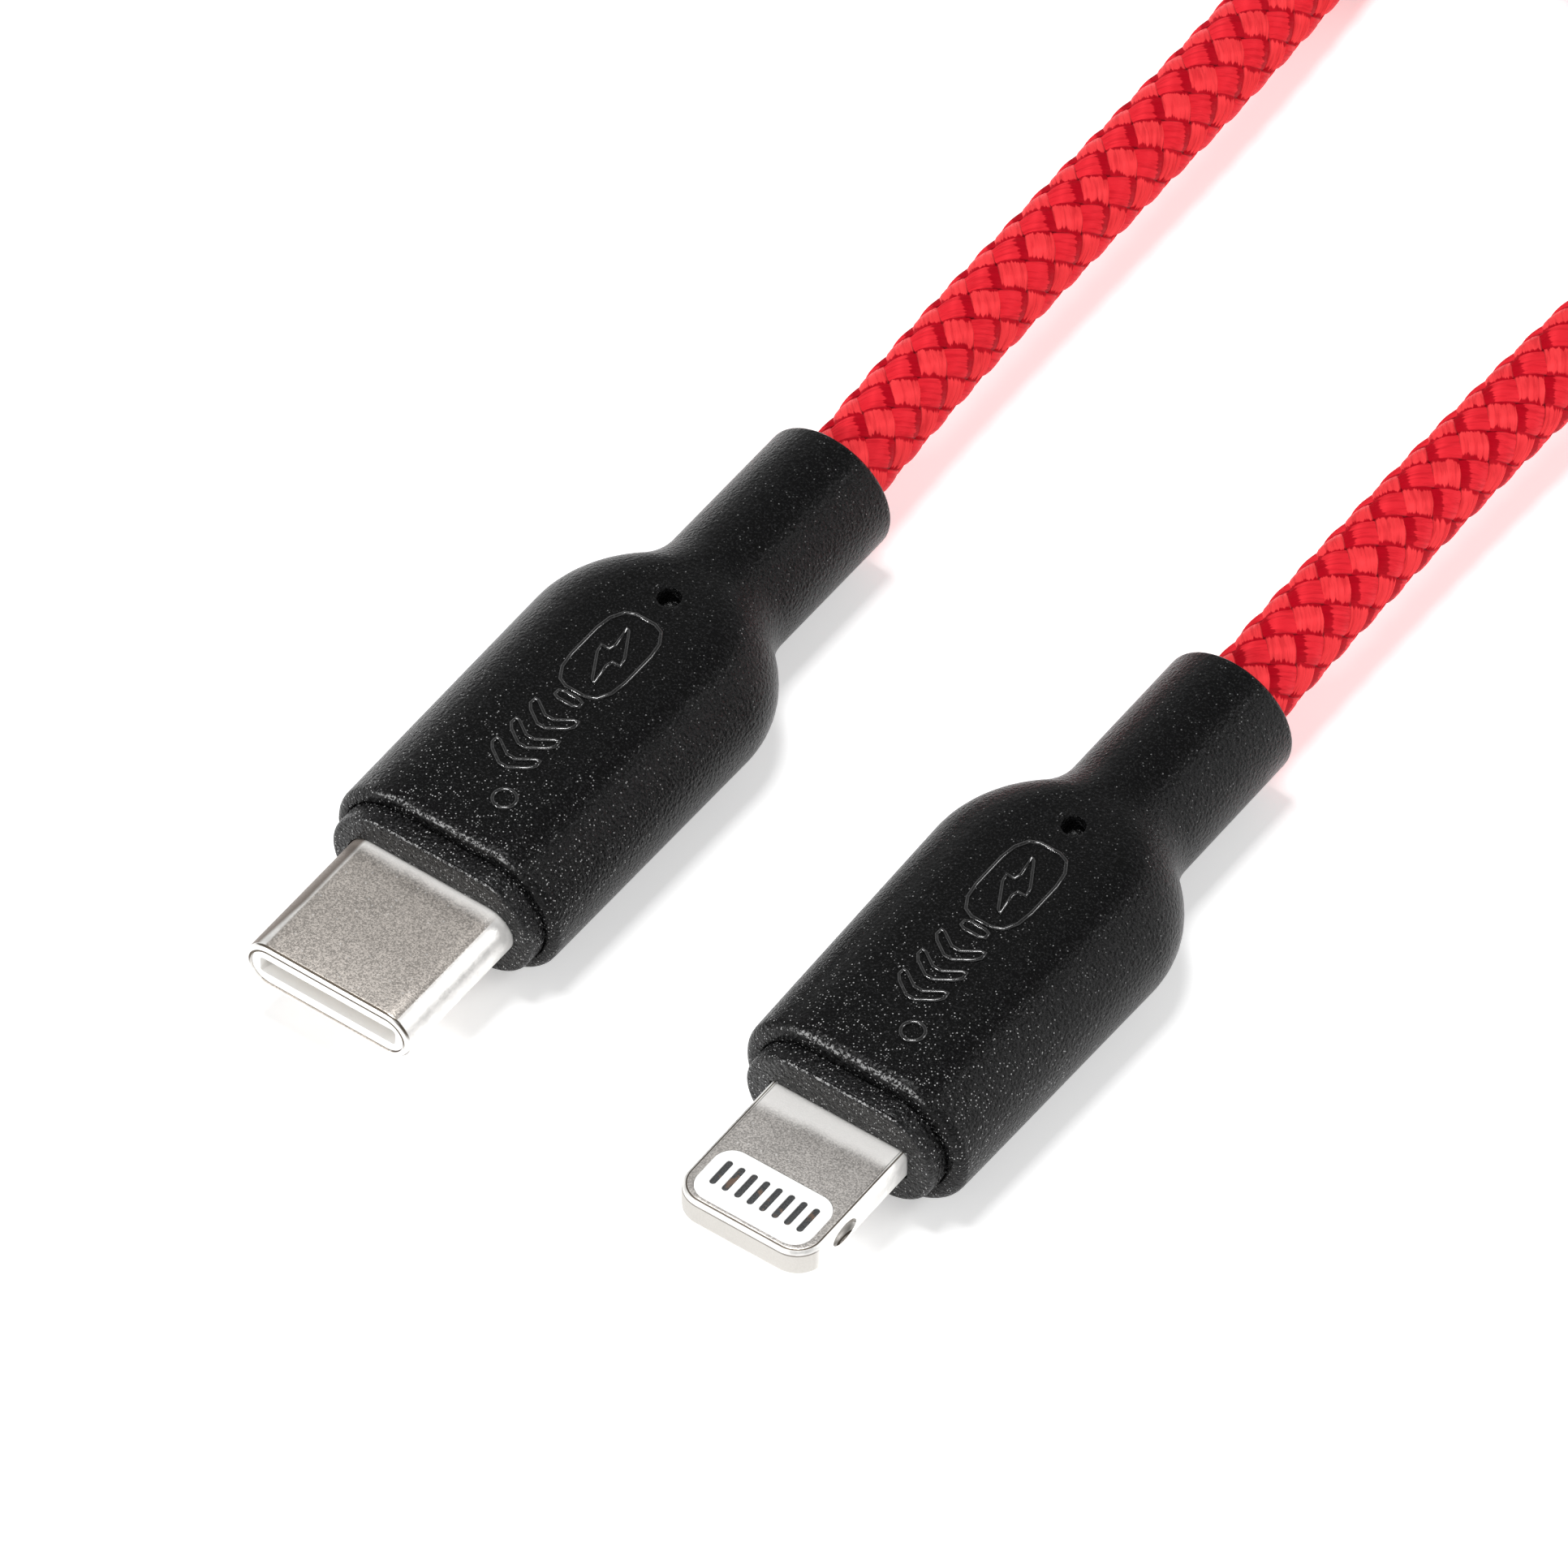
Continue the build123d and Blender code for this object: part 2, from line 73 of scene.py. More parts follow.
class Graph:
    """A material's nodes: each method adds a node and gives back its output."""

    def __init__(self, name):
        self.material = bpy.data.materials.new(name)
        self.material.use_nodes = True
        self.tree = self.material.node_tree
        self.shader = self.tree.nodes["Principled BSDF"]

    def put(self, socket, value):
        if isinstance(value, bpy.types.NodeSocket):
            self.tree.links.new(value, socket)
        elif isinstance(value, tuple) and len(value) == 3 and socket.type == "RGBA":
            socket.default_value = (*value, 1)
        else:
            socket.default_value = value

    def node(self, kind, inputs, output=0, **settings):
        node = self.tree.nodes.new(kind)
        for key, value in settings.items():
            setattr(node, key, value)
        for key, value in inputs.items():
            self.put(node.inputs[key], value)
        return node.outputs[output]

    def place(self, stretch=(1, 1, 1), uv=False):
        """Object coordinates in millimetres, or the UV map, times stretch."""
        source = self.node("ShaderNodeTexCoord", {}, "UV" if uv else "Object")
        scale = stretch if uv else tuple(value / MM for value in stretch)
        return self.node("ShaderNodeVectorMath", {0: source, 1: scale}, operation="MULTIPLY")

    def noise(self, where, scale, detail=2.0, rough=0.5):
        inputs = {"Vector": where, "Scale": scale, "Detail": detail, "Roughness": rough}
        return self.node("ShaderNodeTexNoise", inputs)

    def cells(self, where, scale, feature="F1", output="Distance"):
        return self.node("ShaderNodeTexVoronoi", {"Vector": where, "Scale": scale}, output, feature=feature)

    def part(self, where, axis):
        return self.node("ShaderNodeSeparateXYZ", {0: where}, axis)

    def facing(self):
        """The direction of the surface, in the piece's own frame."""
        return self.node("ShaderNodeTexCoord", {}, "Normal")

    def math(self, operation, a, b=0.0):
        return self.node("ShaderNodeMath", {0: a, 1: b}, operation=operation)

    def plus(self, a, b):
        return self.math("ADD", a, b)

    def minus(self, a, b):
        return self.math("SUBTRACT", a, b)

    def times(self, a, b):
        return self.math("MULTIPLY", a, b)

    def larger(self, a, b):
        return self.math("MAXIMUM", a, b)

    def absolute(self, value):
        return self.math("ABSOLUTE", value)

    def spread(self, value, low, high, to_low=0.0, to_high=1.0):
        """Maps low..high smoothly to to_low..to_high."""
        inputs = {"Value": value, "From Min": low, "From Max": high, "To Min": to_low, "To Max": to_high}
        return self.node("ShaderNodeMapRange", inputs, interpolation_type="SMOOTHSTEP")

    def mix(self, share, a, b):
        inputs = {0: share, 6: a, 7: b}
        return self.node("ShaderNodeMix", inputs, 2, data_type="RGBA")

    def bump(self, height, depth):
        """A bump whose depth is in millimetres."""
        return self.node("ShaderNodeBump", {"Height": height, "Strength": 1.0, "Distance": depth * MM})

    def finish(self, **values):
        for key, value in values.items():
            self.put(self.shader.inputs[key.replace("_", " ")], value)
        return self.material

    def let_light_through(self, tint):
        """Lets some tinted light pass on to what lies behind."""
        lamp = self.node("ShaderNodeLightPath", {}, "Is Shadow Ray")
        clear = self.node("ShaderNodeBsdfTransparent", {"Color": tint})
        mixed = self.node("ShaderNodeMixShader", {0: lamp, 1: self.shader.outputs[0], 2: clear})
        self.put(self.tree.nodes["Material Output"].inputs["Surface"], mixed)
        return self.material


def shaded(colour, share):
    """The colour made darker or lighter by a share of itself."""
    return tuple(min(1.0, share * value) for value in colour)


def moulded(name, dark, light, grain, depth, rough, specular, crowd=0.1):
    """Spark-eroded moulded plastic, with its front edge polished by handling and a painted highlight along
    it.

    Its grain has this many dents a millimetre, and some of its specks are painted glints in the colour light.
    crowd says how many more of them there are at the front.
    """
    g = Graph(name)
    where = g.place()
    grains = g.cells(where, grain, "SMOOTH_F1")
    fine = g.noise(where, grain * 1.5, 3.0, 0.6)
    height = g.plus(grains, g.times(fine, 0.8))
    facing = g.facing()
    level = g.absolute(g.part(facing, "Z"))
    height = g.times(height, g.spread(level, 0.80, 0.97, 1.0, 0.3))
    # The front crest: its roughness is lowered, and below its colour gets a painted highlight
    up_and_forward = g.minus(g.times(g.part(facing, "Z"), 0.66), g.times(g.part(facing, "Y"), 0.75))
    edge = g.spread(up_and_forward, 0.945, 0.99)
    # Painted glints: specks painted in the lighter colour, more crowded towards the front
    chance = g.part(g.cells(where, 9.0, output="Color"), "X")
    forward = g.spread(g.part(where, "Y"), -1.0, 12.0, crowd, 0.0)
    chosen = g.plus(g.plus(chance, forward), g.times(g.noise(where, 0.5, 2.0), 0.2))
    dot = g.spread(g.cells(where, 9.0), 0.36, 0.1)
    painted_glints = g.times(g.spread(chosen, 0.92, 1.3), dot)
    # A painted highlight along the front crest, broken up by noise and joined to the painted glints
    painted_crest_highlight = g.times(edge, g.spread(g.noise(where, 9.0, 2.0, 0.7), 0.47, 0.6))
    painted_glints = g.larger(painted_glints, g.times(painted_crest_highlight, 0.6))
    tone = g.mix(g.spread(fine, 0.5, 0.68), dark, shaded(dark, 6))
    return g.finish(
        Base_Color=g.mix(painted_glints, tone, light),
        Roughness=g.minus(g.spread(fine, 0.35, 0.65, *rough), g.times(edge, 0.1)),
        Normal=g.bump(height, depth),
        Specular_IOR_Level=specular,
    )


NICKEL = (0.98, 0.965, 0.94)
# Painted shade: the dark colour painted into lines, corners and recesses of the plating
PAINTED_SHADE_COLOUR = (0.12, 0.10, 0.08)


def blasted(g, where, colour, lit_from, slant):
    """Bead-blasted plating: speckle, small chips, and a painted highlight: a lighter band that begins at
    lit_from along y.

    Gives its colour, its speckle and the band's share. slant turns the band's edge.
    """
    speckle = g.noise(where, 13.0, 2.0, 0.75)
    cloud = g.noise(where, 0.5, 2.0)
    tone = g.plus(g.times(speckle, 0.85), g.times(cloud, 0.15))
    shade = g.mix(g.spread(tone, 0.36, 0.64), shaded(colour, 0.76), shaded(colour, 1.2))
    chance = g.part(g.cells(where, 5.0, output="Color"), "Y")
    chip = g.times(g.spread(g.cells(where, 5.0), 0.3, 0.15), g.spread(chance, 0.8, 0.95))
    shade = g.mix(g.times(chip, 0.7), shade, NICKEL)
    # Painted highlight: a band painted lighter, towards NICKEL, along y
    wave = g.plus(g.part(where, "Y"), g.times(g.part(where, "X"), slant))
    wave = g.plus(wave, g.times(cloud, 0.4))
    band = g.spread(wave, lit_from, lit_from + 0.9)
    return g.mix(g.times(band, 0.9), shade, NICKEL), speckle, band


def smooth_plating(g, where):
    """The colour of smoother plating on rounded edges, slightly cloudy, painted brighter than the flats as a
    painted reflection.
    """
    return g.mix(g.spread(g.noise(where, 1.4, 3.0, 0.6), 0.4, 0.6), shaded(NICKEL, 0.88), NICKEL)


def plated(g, flat, speckle, band, flats, edges):
    """Finishes plating that is speckled on its flats and smooth on its edges."""
    smoother = g.spread(flat, 0.0, 1.0, 1.35, 1.0)
    return g.finish(
        Base_Color=g.mix(flat, edges, flats),
        Metallic=g.spread(band, 0.0, 1.0, 1.0, 0.25),
        Roughness=g.times(smoother, g.spread(speckle, 0.3, 0.7, 0.3, 0.42)),
        Normal=g.bump(g.times(speckle, flat), 0.006),
    )


def shell_material():
    """The USB-C shell: blasted flats, brighter rounded edges, and painted shade: a dark line along its rim,
    on its front-right corner and its mouth, and a darker left flank.
    """
    g = Graph("shell_nickel")
    where = g.place()
    flats, speckle, band = blasted(g, where, (0.65, 0.60, 0.55), -1.7, 0.0)
    facing = g.facing()
    level = g.absolute(g.part(facing, "Z"))
    forward = g.absolute(g.part(facing, "Y"))
    # The flats reach a little further down the right side
    wider = g.spread(g.part(facing, "X"), 0.0, 0.2, 0.0, 0.07)
    flat = g.spread(g.plus(level, wider), 0.965, 0.985)
    edges = smooth_plating(g, where)
    # Painted shade: the left flank is painted dark
    left = g.minus(g.times(g.part(facing, "X"), -1.0), g.times(forward, 3.0))
    edges = g.mix(g.spread(left, 0.2, 0.4), edges, (0.25, 0.215, 0.19))
    # Painted shade: a dark line along the rim, on the front-right corner, and on the mouth's front faces,
    # darker towards the top
    rim = g.times(g.spread(level, 0.74, 0.82), g.spread(forward, 0.1, 0.25))
    corner = g.times(g.spread(g.part(where, "X"), 3.1, 3.7), g.spread(level, 0.15, 0.5))
    rolled = g.times(g.spread(forward, 0.15, 0.3), g.spread(forward, 0.8, 0.6))
    corner = g.times(corner, rolled)
    upper = g.spread(g.part(where, "Z"), -0.4, 0.2, 0.15, 1.0)
    mouth = g.times(g.spread(forward, 0.985, 0.995), upper)
    painted_shade = g.larger(g.larger(rim, corner), mouth)
    return plated(g, flat, speckle, band, flats, g.mix(painted_shade, edges, PAINTED_SHADE_COLOUR))


def tab_material():
    """The flat plug's tab: blasted flats, and painted shade: thin dark lines beside its rounded rim, a darker
    front, and darker notches.
    """
    g = Graph("tab_nickel")
    where = g.place()
    flats, speckle, band = blasted(g, where, (0.69, 0.655, 0.62), -2.4, -0.07)
    facing = g.facing()
    level = g.absolute(g.part(facing, "Z"))
    forward = g.spread(g.absolute(g.part(facing, "Y")), 0.1, 0.4)
    flat = g.spread(level, 0.955, 0.985)
    edges = smooth_plating(g, where)
    # Painted shade: the front-facing edges are painted darker
    edges = g.mix(g.times(g.spread(level, 0.25, 0.1), forward), edges, (0.57, 0.55, 0.52))
    # Painted shade: thin dark lines beside the rounded rim, and on the front
    top = g.times(g.spread(level, 0.86, 0.91), g.spread(level, 0.955, 0.985, 1.0, 0.0))
    front = g.times(g.spread(g.part(facing, "Z"), 0.12, 0.2), g.spread(level, 0.42, 0.32))
    painted_shade = g.larger(top, g.times(front, g.times(forward, 0.8)))
    # Painted shade in the notches
    notch = g.spread(g.absolute(g.part(where, "X")), 3.31, 3.2)
    notch = g.times(notch, g.spread(g.absolute(g.part(where, "Z")), 0.5, 0.42))
    from_middle = g.absolute(g.plus(g.part(where, "Y"), -NOTCH_Y))
    notch = g.times(notch, g.spread(from_middle, 0.85, 0.75))
    painted_shade = g.larger(painted_shade, g.times(notch, 0.7))
    return plated(g, flat, speckle, band, flats, g.mix(painted_shade, edges, PAINTED_SHADE_COLOUR))


def plain(name, colour, rough=0.5, metallic=0.0, scale=2.0, contrast=0.12, depth=0.004, glow=None):
    """A quiet surface with slight mottling.

    glow is a painted glow that the plastic gives off though it is no lamp: (low y, high y, strength at low,
    strength at high).
    """
    g = Graph(name)
    where = g.place()
    cloud = g.noise(where, scale, 3.0, 0.6)
    shade = g.mix(cloud, shaded(colour, 1 - contrast), shaded(colour, 1 + contrast))
    light = (0.0, 0.0, 0.0)
    # Painted glow: emission that changes along y
    if glow is not None:
        low, high, from_here, to_here = glow
        share = g.spread(g.part(where, "Y"), low, high)
        light = g.mix(share, shaded(colour, from_here), shaded(colour, to_here))
    return g.finish(
        Base_Color=shade,
        Metallic=metallic,
        Roughness=g.spread(cloud, 0.3, 0.7, rough * 0.85, rough * 1.1),
        Normal=g.bump(g.noise(where, scale * 6), depth),
        Emission_Color=light,
        Emission_Strength=0.0 if glow is None else 1.0,
    )


def yarn_material():
    """Lustrous filament yarn, with a painted sheen on its crests and painted shade where it dives under and
    along its edges.

    Across a yarn its UV map runs over one unit, beyond 20 for the yarns of the hand painted lighter. Along a
    yarn, every two units hold one crossing that it tops.
    """
    g = Graph("yarn_red")
    threads = g.noise(g.place((9, 0.9, 1), uv=True), 1.0, 3.0, 0.6)
    clumps = g.noise(g.place((3.5, 0.5, 1), uv=True), 1.0, 2.0)
    where = g.place((1, 1, 1), uv=True)
    # One hand of yarns is painted lighter than the other: lit and shaded copies of one yarn
    painted_lit_hand = g.spread(g.part(where, "X"), 19.0, 19.5)
    shift = g.plus(g.part(where, "Y"), g.times(g.minus(1.0, painted_lit_hand), 0.2))
    # A painted highlight on the crest of each crossing, and painted shade where the yarn dives under
    crest = g.math("COSINE", g.times(shift, pi))
    ragged = g.times(g.minus(threads, 0.5), 1.5)
    painted_sheen_patch = g.spread(g.plus(crest, ragged), 0.12, 0.34)
    edge = g.absolute(g.minus(g.math("FRACT", g.part(where, "X")), 0.5))
    lit = g.mix(painted_lit_hand, (0.79, 0.024, 0.037), (0.90, 0.050, 0.058))
    shade = g.mix(painted_sheen_patch, (0.42, 0.002, 0.011), lit)
    dim = g.times(g.spread(threads, 0.36, 0.55, 0.7, 0.0), g.spread(painted_sheen_patch, 0.0, 1.0, 1.0, 0.5))
    shade = g.mix(dim, shade, (0.36, 0.0013, 0.008))
    shade = g.mix(g.spread(clumps, 0.35, 0.65, 0.2, 0.0), shade, (0.60, 0.003, 0.014))
    # Painted shade along each yarn's edges, between the yarns
    shade = g.mix(g.spread(edge, 0.40, 0.49, 0.0, 0.9), shade, (0.05, 0.0002, 0.003))
    tangent = g.node("ShaderNodeTangent", {}, direction_type="UV_MAP", uv_map="UVMap")
    g.finish(
        Base_Color=shade,
        Metallic=0.12,
        Roughness=g.spread(threads, 0.3, 0.7, 0.68, 0.55),
        Specular_IOR_Level=0.08,
        Anisotropic=1.0,
        Tangent=tangent,
        Normal=g.bump(g.plus(threads, g.times(clumps, 0.7)), 0.04),
    )
    return g.let_light_through((0.80, 0.32, 0.35))


# Mesh building -----------------------------------------------------------------------------------


def piece_from(mesh, name, material, covers=(), at=None, crease=35):
    """Makes a piece of a mesh in millimetres. covers names the CAD nodes that it stands for."""
    mesh.transform(Matrix.Scale(MM, 4))
    mesh.name = name
    mesh.materials.clear()
    mesh.materials.append(material)
    mesh.shade_smooth()
    mesh.set_sharp_from_angle(angle=radians(crease))
    piece = bpy.data.objects.new(name, mesh)
    scene.collection.objects.link(piece)
    if at is not None:
        piece.matrix_world = at
    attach(piece, "root")
    if covers:
        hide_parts(*covers)
    return piece


def mesh_of(points, faces):
    """A mesh of these points and faces."""
    mesh = bpy.data.meshes.new("made")
    mesh.from_pydata([tuple(p) for p in points], [], faces)
    mesh.update()
    return mesh


def welded(mesh, distance=1e-4):
    """Merges doubled points and turns every face outwards."""
    bm = bmesh.new()
    bm.from_mesh(mesh)
    bmesh.ops.remove_doubles(bm, verts=bm.verts, dist=distance)
    bmesh.ops.recalc_face_normals(bm, faces=bm.faces)
    bm.to_mesh(mesh)
    bm.free()
    return mesh


def outline(half_x, half_z, radius, arc=14, wide=10, high=4):
    """Points round a rounded rectangle, alike in number and order for any size, so that rings can be joined.

    arc, wide and high are the numbers of steps round a corner and along the wide and high sides.
    """
    radius = min(radius, half_x, half_z)
    cx, cz = half_x - radius, half_z - radius
    points = []
    for start, sx, sz in ((0, 1, 1), (90, -1, 1), (180, -1, -1), (270, 1, -1)):
        for i in range(arc + 1):
            a = radians(start + 90 * i / arc)
            points.append((sx * cx + radius * cos(a), sz * cz + radius * sin(a)))
        steps, (nx, nz) = (wide, (-sx, sz)) if sx * sz > 0 else (high, (sx, -sz))
        out_x, out_z = radius * cos(radians(start + 90)), radius * sin(radians(start + 90))
        last = (sx * cx + out_x, sz * cz + out_z)
        ahead = (nx * cx + out_x, nz * cz + out_z)
        for i in range(1, steps):
            t = i / steps
            points.append((last[0] + (ahead[0] - last[0]) * t, last[1] + (ahead[1] - last[1]) * t))
    return points


def ringed(rings, closed=True):
    """A skin over rings, each (y, half width, half height, corner radius); closed joins last to first."""
    loops = [[(x, ring[0], z) for x, z in outline(*ring[1:])] for ring in rings]
    count = len(loops[0])
    faces = []
    for i in range(len(loops) if closed else len(loops) - 1):
        here, there = i * count, (i + 1) % len(loops) * count
        for j in range(count):
            k = (j + 1) % count
            faces.append((here + j, here + k, there + k, there + j))
    return welded(mesh_of([p for loop in loops for p in loop], faces))


def rounded_edge(y, width, height, radius, edge, steps, towards):
    """Rings over an outer edge of radius edge, from the side of a body onto its end face at y.

    towards is 1 for an end face that looks along +y, and -1 for one that looks along -y.
    """
    rings = []
    for i in range(steps + 1):
        a = pi / 2 * i / steps
        inset, back = edge * (1 - cos(a)), edge * (1 - sin(a))
        rings.append((y - towards * back, width - inset, height - inset, radius - inset))
    return rings


def plate(loops, low, high, edge, steps=3):
    """A flat plate between two heights, from closed outlines (the outer one, then its holes)."""
    curve = bpy.data.curves.new("plate", "CURVE")
    curve.dimensions = "2D"
    curve.fill_mode = "BOTH"
    for loop in loops:
        spline = curve.splines.new("POLY")
        spline.points.add(len(loop) - 1)
        for point, (x, y) in zip(spline.points, loop):
            point.co = (x, y, 0, 1)
        spline.use_cyclic_u = True
    curve.extrude = (high - low) / 2 - edge
    curve.bevel_depth = edge
    curve.bevel_resolution = steps
    curve.offset = -edge
    holder = bpy.data.objects.new("plate", curve)
    mesh = bpy.data.meshes.new_from_object(holder)
    bpy.data.objects.remove(holder)
    mesh.transform(Matrix.Translation((0, 0, (low + high) / 2)))
    return welded(mesh, 1e-3)


def joined(meshes):
    """Several meshes as one."""
    bm = bmesh.new()
    for mesh in meshes:
        bm.from_mesh(mesh)
    whole = bpy.data.meshes.new("joined")
    bm.to_mesh(whole)
    bm.free()
    return whole


def turned(profile, centre, steps=40):
    """A solid turned about a vertical line, from its (radius, height) profile."""
    points, faces = [], []
    for r, z in profile:
        for j in range(steps):
            a = 2 * pi * j / steps
            points.append((centre[0] + r * cos(a), centre[1] + r * sin(a), z))
    for i in range(len(profile) - 1):
        for j in range(steps):
            k = (j + 1) % steps
            faces.append((i * steps + j, i * steps + k, (i + 1) * steps + k, (i + 1) * steps + j))
    return welded(mesh_of(points, faces), 1e-5)


def carved(mesh, *cutters):
    """The mesh with the shape of each cutter taken out of it."""
    body = bpy.data.objects.new("body", mesh)
    scene.collection.objects.link(body)
    made = [body]
    for cutter in cutters:
        tool = bpy.data.objects.new("cutter", cutter)
        scene.collection.objects.link(tool)
        made.append(tool)
        modifier = body.modifiers.new("cut", "BOOLEAN")
        modifier.operation = "DIFFERENCE"
        modifier.solver = "EXACT"
        modifier.object = tool
    whole = bpy.data.meshes.new_from_object(body.evaluated_get(bpy.context.evaluated_depsgraph_get()))
    for thing in made:
        bpy.data.objects.remove(thing)
    return whole


# Cord --------------------------------------------------------------------------------------------

# The cord's diameter in millimetres, and its route's points from each grip in metres, as in part.py
CORD = 3.7
LEAD_A = [
    (-0.01028, 0.01739, 0.00338),
    (-0.01072, 0.0235, 0.0035),
    (-0.0109, 0.0355, 0.00345),
    (-0.0111, 0.0475, 0.0030),
    (-0.0122, 0.0585, 0.0021),
    (-0.0142, 0.0675, 0.00186),
    (-0.0148, 0.0757, 0.00185),
]
LEAD_B = [
    (0.010048, 0.017109, 0.00338),
    (0.00986, 0.0232, 0.00345),
    (0.00984, 0.0350, 0.00335),
    (0.0103, 0.0470, 0.0032),
    (0.0122, 0.0585, 0.0040),
    (0.0143, 0.0675, 0.0053),
    (0.0148, 0.0757, 0.00555),
]
# The hank's near end and its runs' length, the heights of its two layers, and half its turns' widths
NEAR = 75.7
RUN = 64.0
LOW = CORD / 2
TOP = 1.5 * CORD
WIDE = 4 * CORD
SLIM = 3 * CORD
# How far the tie under the hank lifts it
TIE_LIFT = 0.9


def hank_leg(side, end, height, outward):
    """One run of the hank, drawn in to its waist and lifted onto the tie."""
    waist = end - 2.5 * CORD
    # The first stop is where it keeps the loop beside it round
    stops = [0.414 * end, 13.5, 20.5, 27.5]
    stops += [RUN - stop for stop in reversed(stops)]
    points = []
    for stop in stops:
        share = min(1, max(0, (min(stop, RUN - stop) - 3) / 26))
        share = share * share * (3 - 2 * share)
        lift = {27.5: TIE_LIFT, 20.5: TIE_LIFT / 2}.get(min(stop, RUN - stop), 0)
        points.append((side * (end + (waist - end) * share), NEAR + stop, height + lift))
    return points if outward else points[::-1]


def hank_loop(start, stop, y, stretch, low, high):
    """Half a turn between two runs, from x = start to x = stop round the end at y."""
    centre, radius = (start + stop) / 2, (start - stop) / 2 / cos(pi / 8)
    points = []
    for i in range(4):
        a = pi / 8 + pi / 4 * i
        height = low + (high - low) * (0.125 + 0.25 * i)
        points.append((centre + radius * cos(a), y + stretch * abs(radius) * sin(a), height))
    return points


far = NEAR + RUN
hank = []
# Each turn's half width and height, and its near loop's: the half width after it, its stretch, its end height
turns = [
    (WIDE, LOW, SLIM, 1.12, LOW),
    (SLIM, LOW, SLIM, 0.97, TOP),
    (SLIM, TOP, WIDE, 1.12, TOP),
    (WIDE, TOP, None, None, None),
]
for end, height, after, stretch, climbed in turns:
    hank += hank_leg(-1, end, height, True)
    hank += hank_loop(-end, end, far, 1, height, height)
    hank += hank_leg(1, end, height, False)
    if after is not None:
        hank += hank_loop(end, -after, NEAR, -stretch, height, climbed)

route = bpy.data.curves.new("cord_route", "CURVE")
route.dimensions = "3D"
route.resolution_u = 24
spline = route.splines.new("NURBS")
places = LEAD_A + [tuple(value * MM for value in point) for point in hank] + LEAD_B[::-1]
spline.points.add(len(places) - 1)
for point, place in zip(spline.points, places):
    point.co = (*place, 1)
spline.order_u = 3
spline.use_endpoint_u = True
holder = bpy.data.objects.new("cord_route", route)
read = bpy.data.meshes.new_from_object(holder)
line = np.array([vertex.co for vertex in read.vertices]) / MM
bpy.data.objects.remove(holder)

# The line with a little more at each end, inside the necks, and how far along it each point is
TUCK = 1.2
ends = [line[0] - line[1], line[-1] - line[-2]]
ends = [end / np.linalg.norm(end) * TUCK for end in ends]
line = np.vstack([line[:1] + ends[0], line, line[-1:] + ends[1]])
along = np.concatenate([[0], np.cumsum(np.linalg.norm(np.diff(line, axis=0), axis=1))])
length = along[-1]

# Frames that turn with the line and don't twist about it
tangents = np.gradient(line, along, axis=0)
tangents /= np.linalg.norm(tangents, axis=1)[:, None]
firsts = [np.array([1.0, 0, 0])]
for tangent in tangents:
    first = firsts[-1] - tangent * (firsts[-1] @ tangent)
    firsts.append(first / np.linalg.norm(first))
firsts = np.array(firsts[1:])
seconds = np.cross(firsts, tangents)

# The braid has six yarns of each hand. A yarn goes round once in LEAD, and over and under in turn by CELL.
YARNS = 6
LEAD = 11.8
CELL = LEAD / 12
# The yarns' mean distance from the middle, how far they rise and fall from it, and their width
RADIUS = 1.65
WAVE = 0.09
YARN = 1.40
# The radius at which a yarn's width is laid round the cord, and its lean there
LEAN_RADIUS = 1.7
SLOPE = 2 * pi * LEAN_RADIUS / LEAD
LEAN_SIN = SLOPE / sqrt(1 + SLOPE**2)
LEAN_COS = 1 / sqrt(1 + SLOPE**2)
CORE = 1.5
# The braid keeps its angle over this length of each lead, and takes up the route's twist between them
STEADY = 70

# The row of lighter squares that faces up and to the right: its angle at both ends of the cord
facing = np.array([cos(radians(69)), 0, sin(radians(69))])
angle_start = np.arctan2(facing @ seconds[2], facing @ firsts[2])
angle_end = np.arctan2(facing @ seconds[-3], facing @ firsts[-3])
twist = (angle_end - angle_start + pi / 6) % (pi / 3) - pi / 6


def around(places, angles, radius):
    """Points at these places along the cord, at these angles about it and at this radius."""
    axes = []
    for axis in range(3):
        centre = np.interp(places, along, line[:, axis])
        first = np.interp(places, along, firsts[:, axis])
        second = np.interp(places, along, seconds[:, axis])
        axes.append(centre + radius * (np.cos(angles) * first + np.sin(angles) * second))
    return np.stack(axes, axis=-1)


def grid(across, down):
    """A grid of UV places, from its values across and down."""
    return np.stack(np.broadcast_arrays(across, down), axis=-1)


def strand(index, hand, start, stop, per_cell, shape):
    """One yarn of the braid between two distances along the cord: rings of points, and their UV places."""
    count = int(round((stop - start) / CELL * per_cell)) + 1
    s = np.linspace(start, stop, count)[:, None]
    u, h = (np.array(values)[None, :] for values in zip(*shape))
    angle = angle_start + twist * np.clip((s - STEADY) / (length - 2 * STEADY), 0, 1)
    angle = angle + hand * 2 * pi * s / LEAD + 2 * pi * index / YARNS
    wobble = 1 + 0.05 * np.sin(s * 1.9 + index * 2.1 + hand) + 0.04 * np.sin(s * 0.73 + index * 4.4)
    high = RADIUS + hand * WAVE * np.cos(pi * s / CELL) * wobble
    across = u * YARN * (1 + 0.03 * np.sin(s * 2.7 + index * 1.3 - hand))
    place = np.clip(s - hand * across * LEAN_SIN, 0, length)
    angle = angle + across * LEAN_COS / LEAN_RADIUS
    number = 3 * index + 20 * (hand > 0)
    return around(place, angle, high + h), grid(u + 0.5 + number, s / CELL + (hand < 0))


def section(tops, bottoms):
    """A yarn's outline in shares of its width and heights: over its crown and back under its flat bottom."""
    over = [-cos(pi * i / tops) / 2 for i in range(tops + 1)]
    points = [(u, 0.14 * (1 - abs(2 * u) ** 3.5) - 0.03) for u in over]
    points += [(0.5 - (i + 1) / (bottoms + 1), -0.07) for i in range(bottoms)]
    return points


